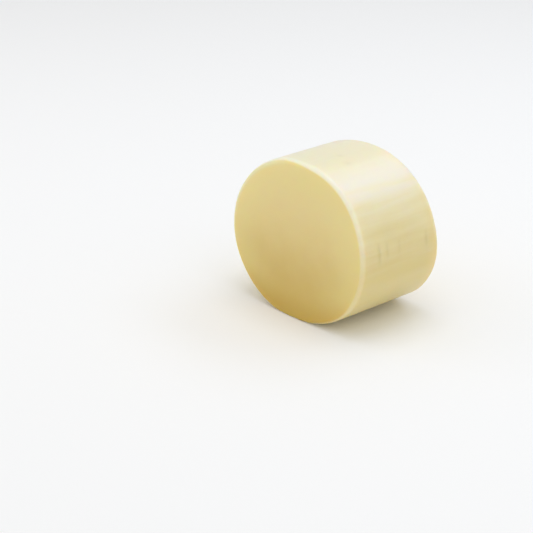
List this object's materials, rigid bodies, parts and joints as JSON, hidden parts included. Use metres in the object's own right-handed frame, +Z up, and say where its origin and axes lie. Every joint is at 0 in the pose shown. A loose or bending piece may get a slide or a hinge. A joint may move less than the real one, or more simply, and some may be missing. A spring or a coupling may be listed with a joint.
{
  "type": "provolone cheese",
  "caption": "Cut length of pale yellow provolone log lying on its side, with a smooth rind, softly rounded edges and a flat cut at each end.",
  "frame": {"origin": "On the resting plane, under the middle of the log's box.", "axes": "+Z is up, the log lies along Y with its front cut towards -Y, and +X runs across the oval section, which is the longest extent."},
  "size_m": [0.1176, 0.0734, 0.1001],
  "materials": {
    "cheese": "waxy satin, slightly translucent"
  },
  "bodies": {
    "root": {"provolone_log": "cheese"}
  },
  "joints": []
}
